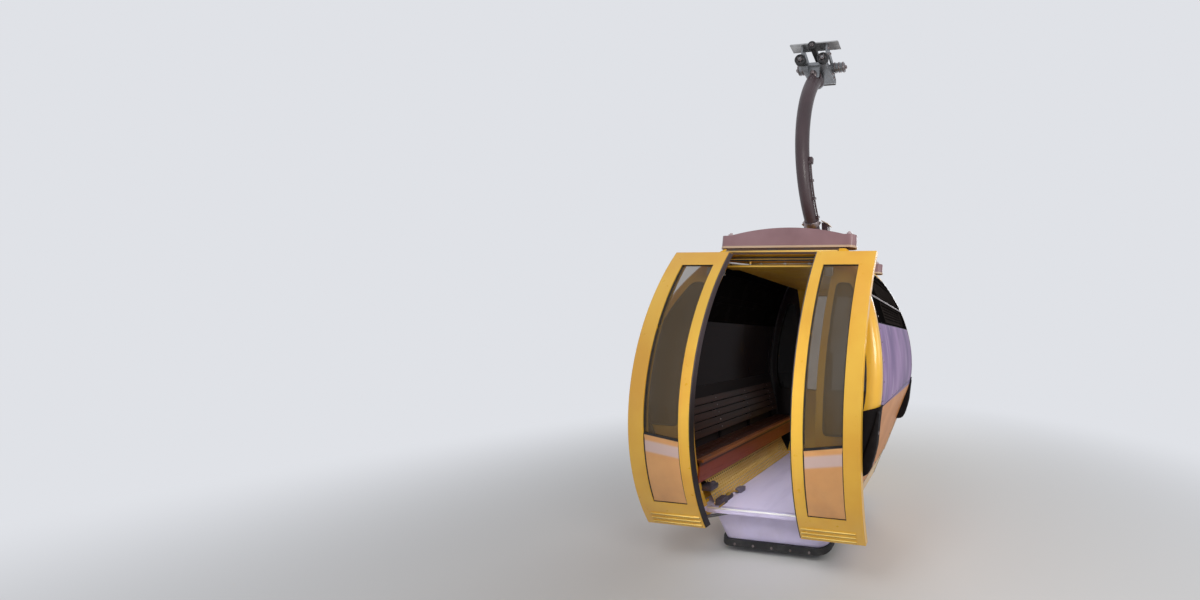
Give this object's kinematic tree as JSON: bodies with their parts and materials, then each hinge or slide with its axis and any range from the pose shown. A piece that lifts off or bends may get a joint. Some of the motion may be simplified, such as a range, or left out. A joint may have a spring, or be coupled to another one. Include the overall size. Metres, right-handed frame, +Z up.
{
  "type": "cable car cabin",
  "caption": "Detachable cable car cabin with bowed walls, swing-out double doors, slatted benches, roof frame, bent hanger arm and rope grip.",
  "frame": {"origin": "on the rope's axis in the middle of the grip's jaws", "axes": "+X along the rope in the direction of travel, the doorway faces -Y, +Z up"},
  "size_m": [1.9058, 2.1396, 4.7226],
  "materials": {
    "yellow_paint": "gloss",
    "tan_panel": "satin",
    "purple_panel": "gloss",
    "black_louvre": "matt",
    "tinted_glass": "gloss",
    "floor_metal": "satin",
    "pan_metal": "satin",
    "black_rubber": "matt",
    "black_plastic": "satin",
    "slat_wood": "oiled",
    "black_metal": "satin",
    "yellow_metal": "satin",
    "hanger_paint": "satin",
    "frame_paint": "satin",
    "grip_steel": "machined",
    "jaw_steel": "forged",
    "drive_metal": "worn",
    "roller_tyre": "matt",
    "cap_steel": "satin",
    "arm_steel": "satin"
  },
  "bodies": {
    "grip": {"grip_frame": "grip_steel", "drive_plate": "drive_metal"},
    "cabin": {"hanger_arm": "hanger_paint", "cross_beam": "frame_paint", "roof_beam_front": "frame_paint", "roof_beam_rear": "frame_paint", "dampers": "black_rubber", "damper_caps": "cap_steel", "roof": "yellow_paint", "post_front_left": "yellow_paint", "post_front_right": "yellow_paint", "post_rear_left": "yellow_paint", "post_rear_right": "yellow_paint", "post_glass": "tinted_glass", "rear_wall": "yellow_paint", "rear_glass": "tinted_glass", "end_skirt_left": "yellow_paint", "end_skirt_right": "yellow_paint", "end_low_left": "tan_panel", "end_low_right": "tan_panel", "end_mid_left": "purple_panel", "end_mid_right": "purple_panel", "end_top_left": "black_louvre", "end_top_right": "black_louvre", "end_louvres_left": "black_louvre", "end_louvres_right": "black_louvre", "corner_guards": "black_plastic", "door_header": "yellow_metal", "ceiling_liner": "yellow_metal", "floor_plate": "floor_metal", "floor_pan": "pan_metal", "bumper_rim": "black_rubber", "bench_slats_left": "slat_wood", "bench_slats_right": "slat_wood", "bench_frames_left": "black_metal", "bench_frames_right": "black_metal", "kick_plate_left": "yellow_metal", "kick_plate_right": "yellow_metal", "intercom": "black_plastic"},
    "jaw": {"jaw_lever": "jaw_steel"},
    "lever_roller": {"lever_roller": "roller_tyre"},
    "roller_left": {"running_roller_left": "roller_tyre"},
    "roller_right": {"running_roller_right": "roller_tyre"},
    "arms_left": {"door_arms_left": "arm_steel"},
    "arms_right": {"door_arms_right": "arm_steel"},
    "leaf_left": {"door_frame_left": "yellow_paint", "door_glass_left": "tinted_glass", "door_panel_left": "tan_panel", "door_seal_left": "black_rubber"},
    "leaf_right": {"door_frame_right": "yellow_paint", "door_glass_right": "tinted_glass", "door_panel_right": "tan_panel", "door_seal_right": "black_rubber"}
  },
  "joints": [
    {"name": "cabin_swing", "type": "hinge", "parent": "grip", "child": "cabin", "pos_m": [0, -0.215, -0.15], "axis": [0, 1, 0], "range_deg": [-35, 35]},
    {"name": "jaw_open", "type": "hinge", "parent": "grip", "child": "jaw", "pos_m": [0, -0.088, 0.072], "axis": [1, 0, 0], "range_deg": [0, 14], "stiffness_Nm_per_rad": 2000, "springref_deg": -2.86},
    {"name": "lever_roller_spin", "type": "hinge", "parent": "jaw", "child": "lever_roller", "pos_m": [0, -0.352, 0.104], "axis": [0, 1, 0], "continuous": true},
    {"name": "roller_left_spin", "type": "hinge", "parent": "grip", "child": "roller_left", "pos_m": [-0.118, -0.345, -0.04], "axis": [0, 1, 0], "continuous": true},
    {"name": "roller_right_spin", "type": "hinge", "parent": "grip", "child": "roller_right", "pos_m": [0.118, -0.345, -0.04], "axis": [0, 1, 0], "continuous": true},
    {"name": "door_left_arm", "type": "hinge", "parent": "cabin", "child": "arms_left", "pos_m": [-0.302, -0.64003, -3.25], "axis": [0, 0, 1], "range_deg": [0, 146.3]},
    {"name": "door_left_leaf", "type": "hinge", "parent": "arms_left", "child": "leaf_left", "pos_m": [-0.46673, -0.74989, -3.25], "axis": [0, 0, 1], "range_deg": [-146.3, 0]},
    {"name": "door_right_arm", "type": "hinge", "parent": "cabin", "child": "arms_right", "pos_m": [0.302, -0.64003, -3.25], "axis": [0, 0, 1], "range_deg": [-146.3, 0]},
    {"name": "door_right_leaf", "type": "hinge", "parent": "arms_right", "child": "leaf_right", "pos_m": [0.46673, -0.74989, -3.25], "axis": [0, 0, 1], "range_deg": [0, 146.3]}
  ],
  "couplings": [
    {"joint": "door_left_leaf", "follows": "door_left_arm", "ratio": -1},
    {"joint": "door_right_arm", "follows": "door_left_arm", "ratio": -1},
    {"joint": "door_right_leaf", "follows": "door_left_arm", "ratio": 1}
  ]
}
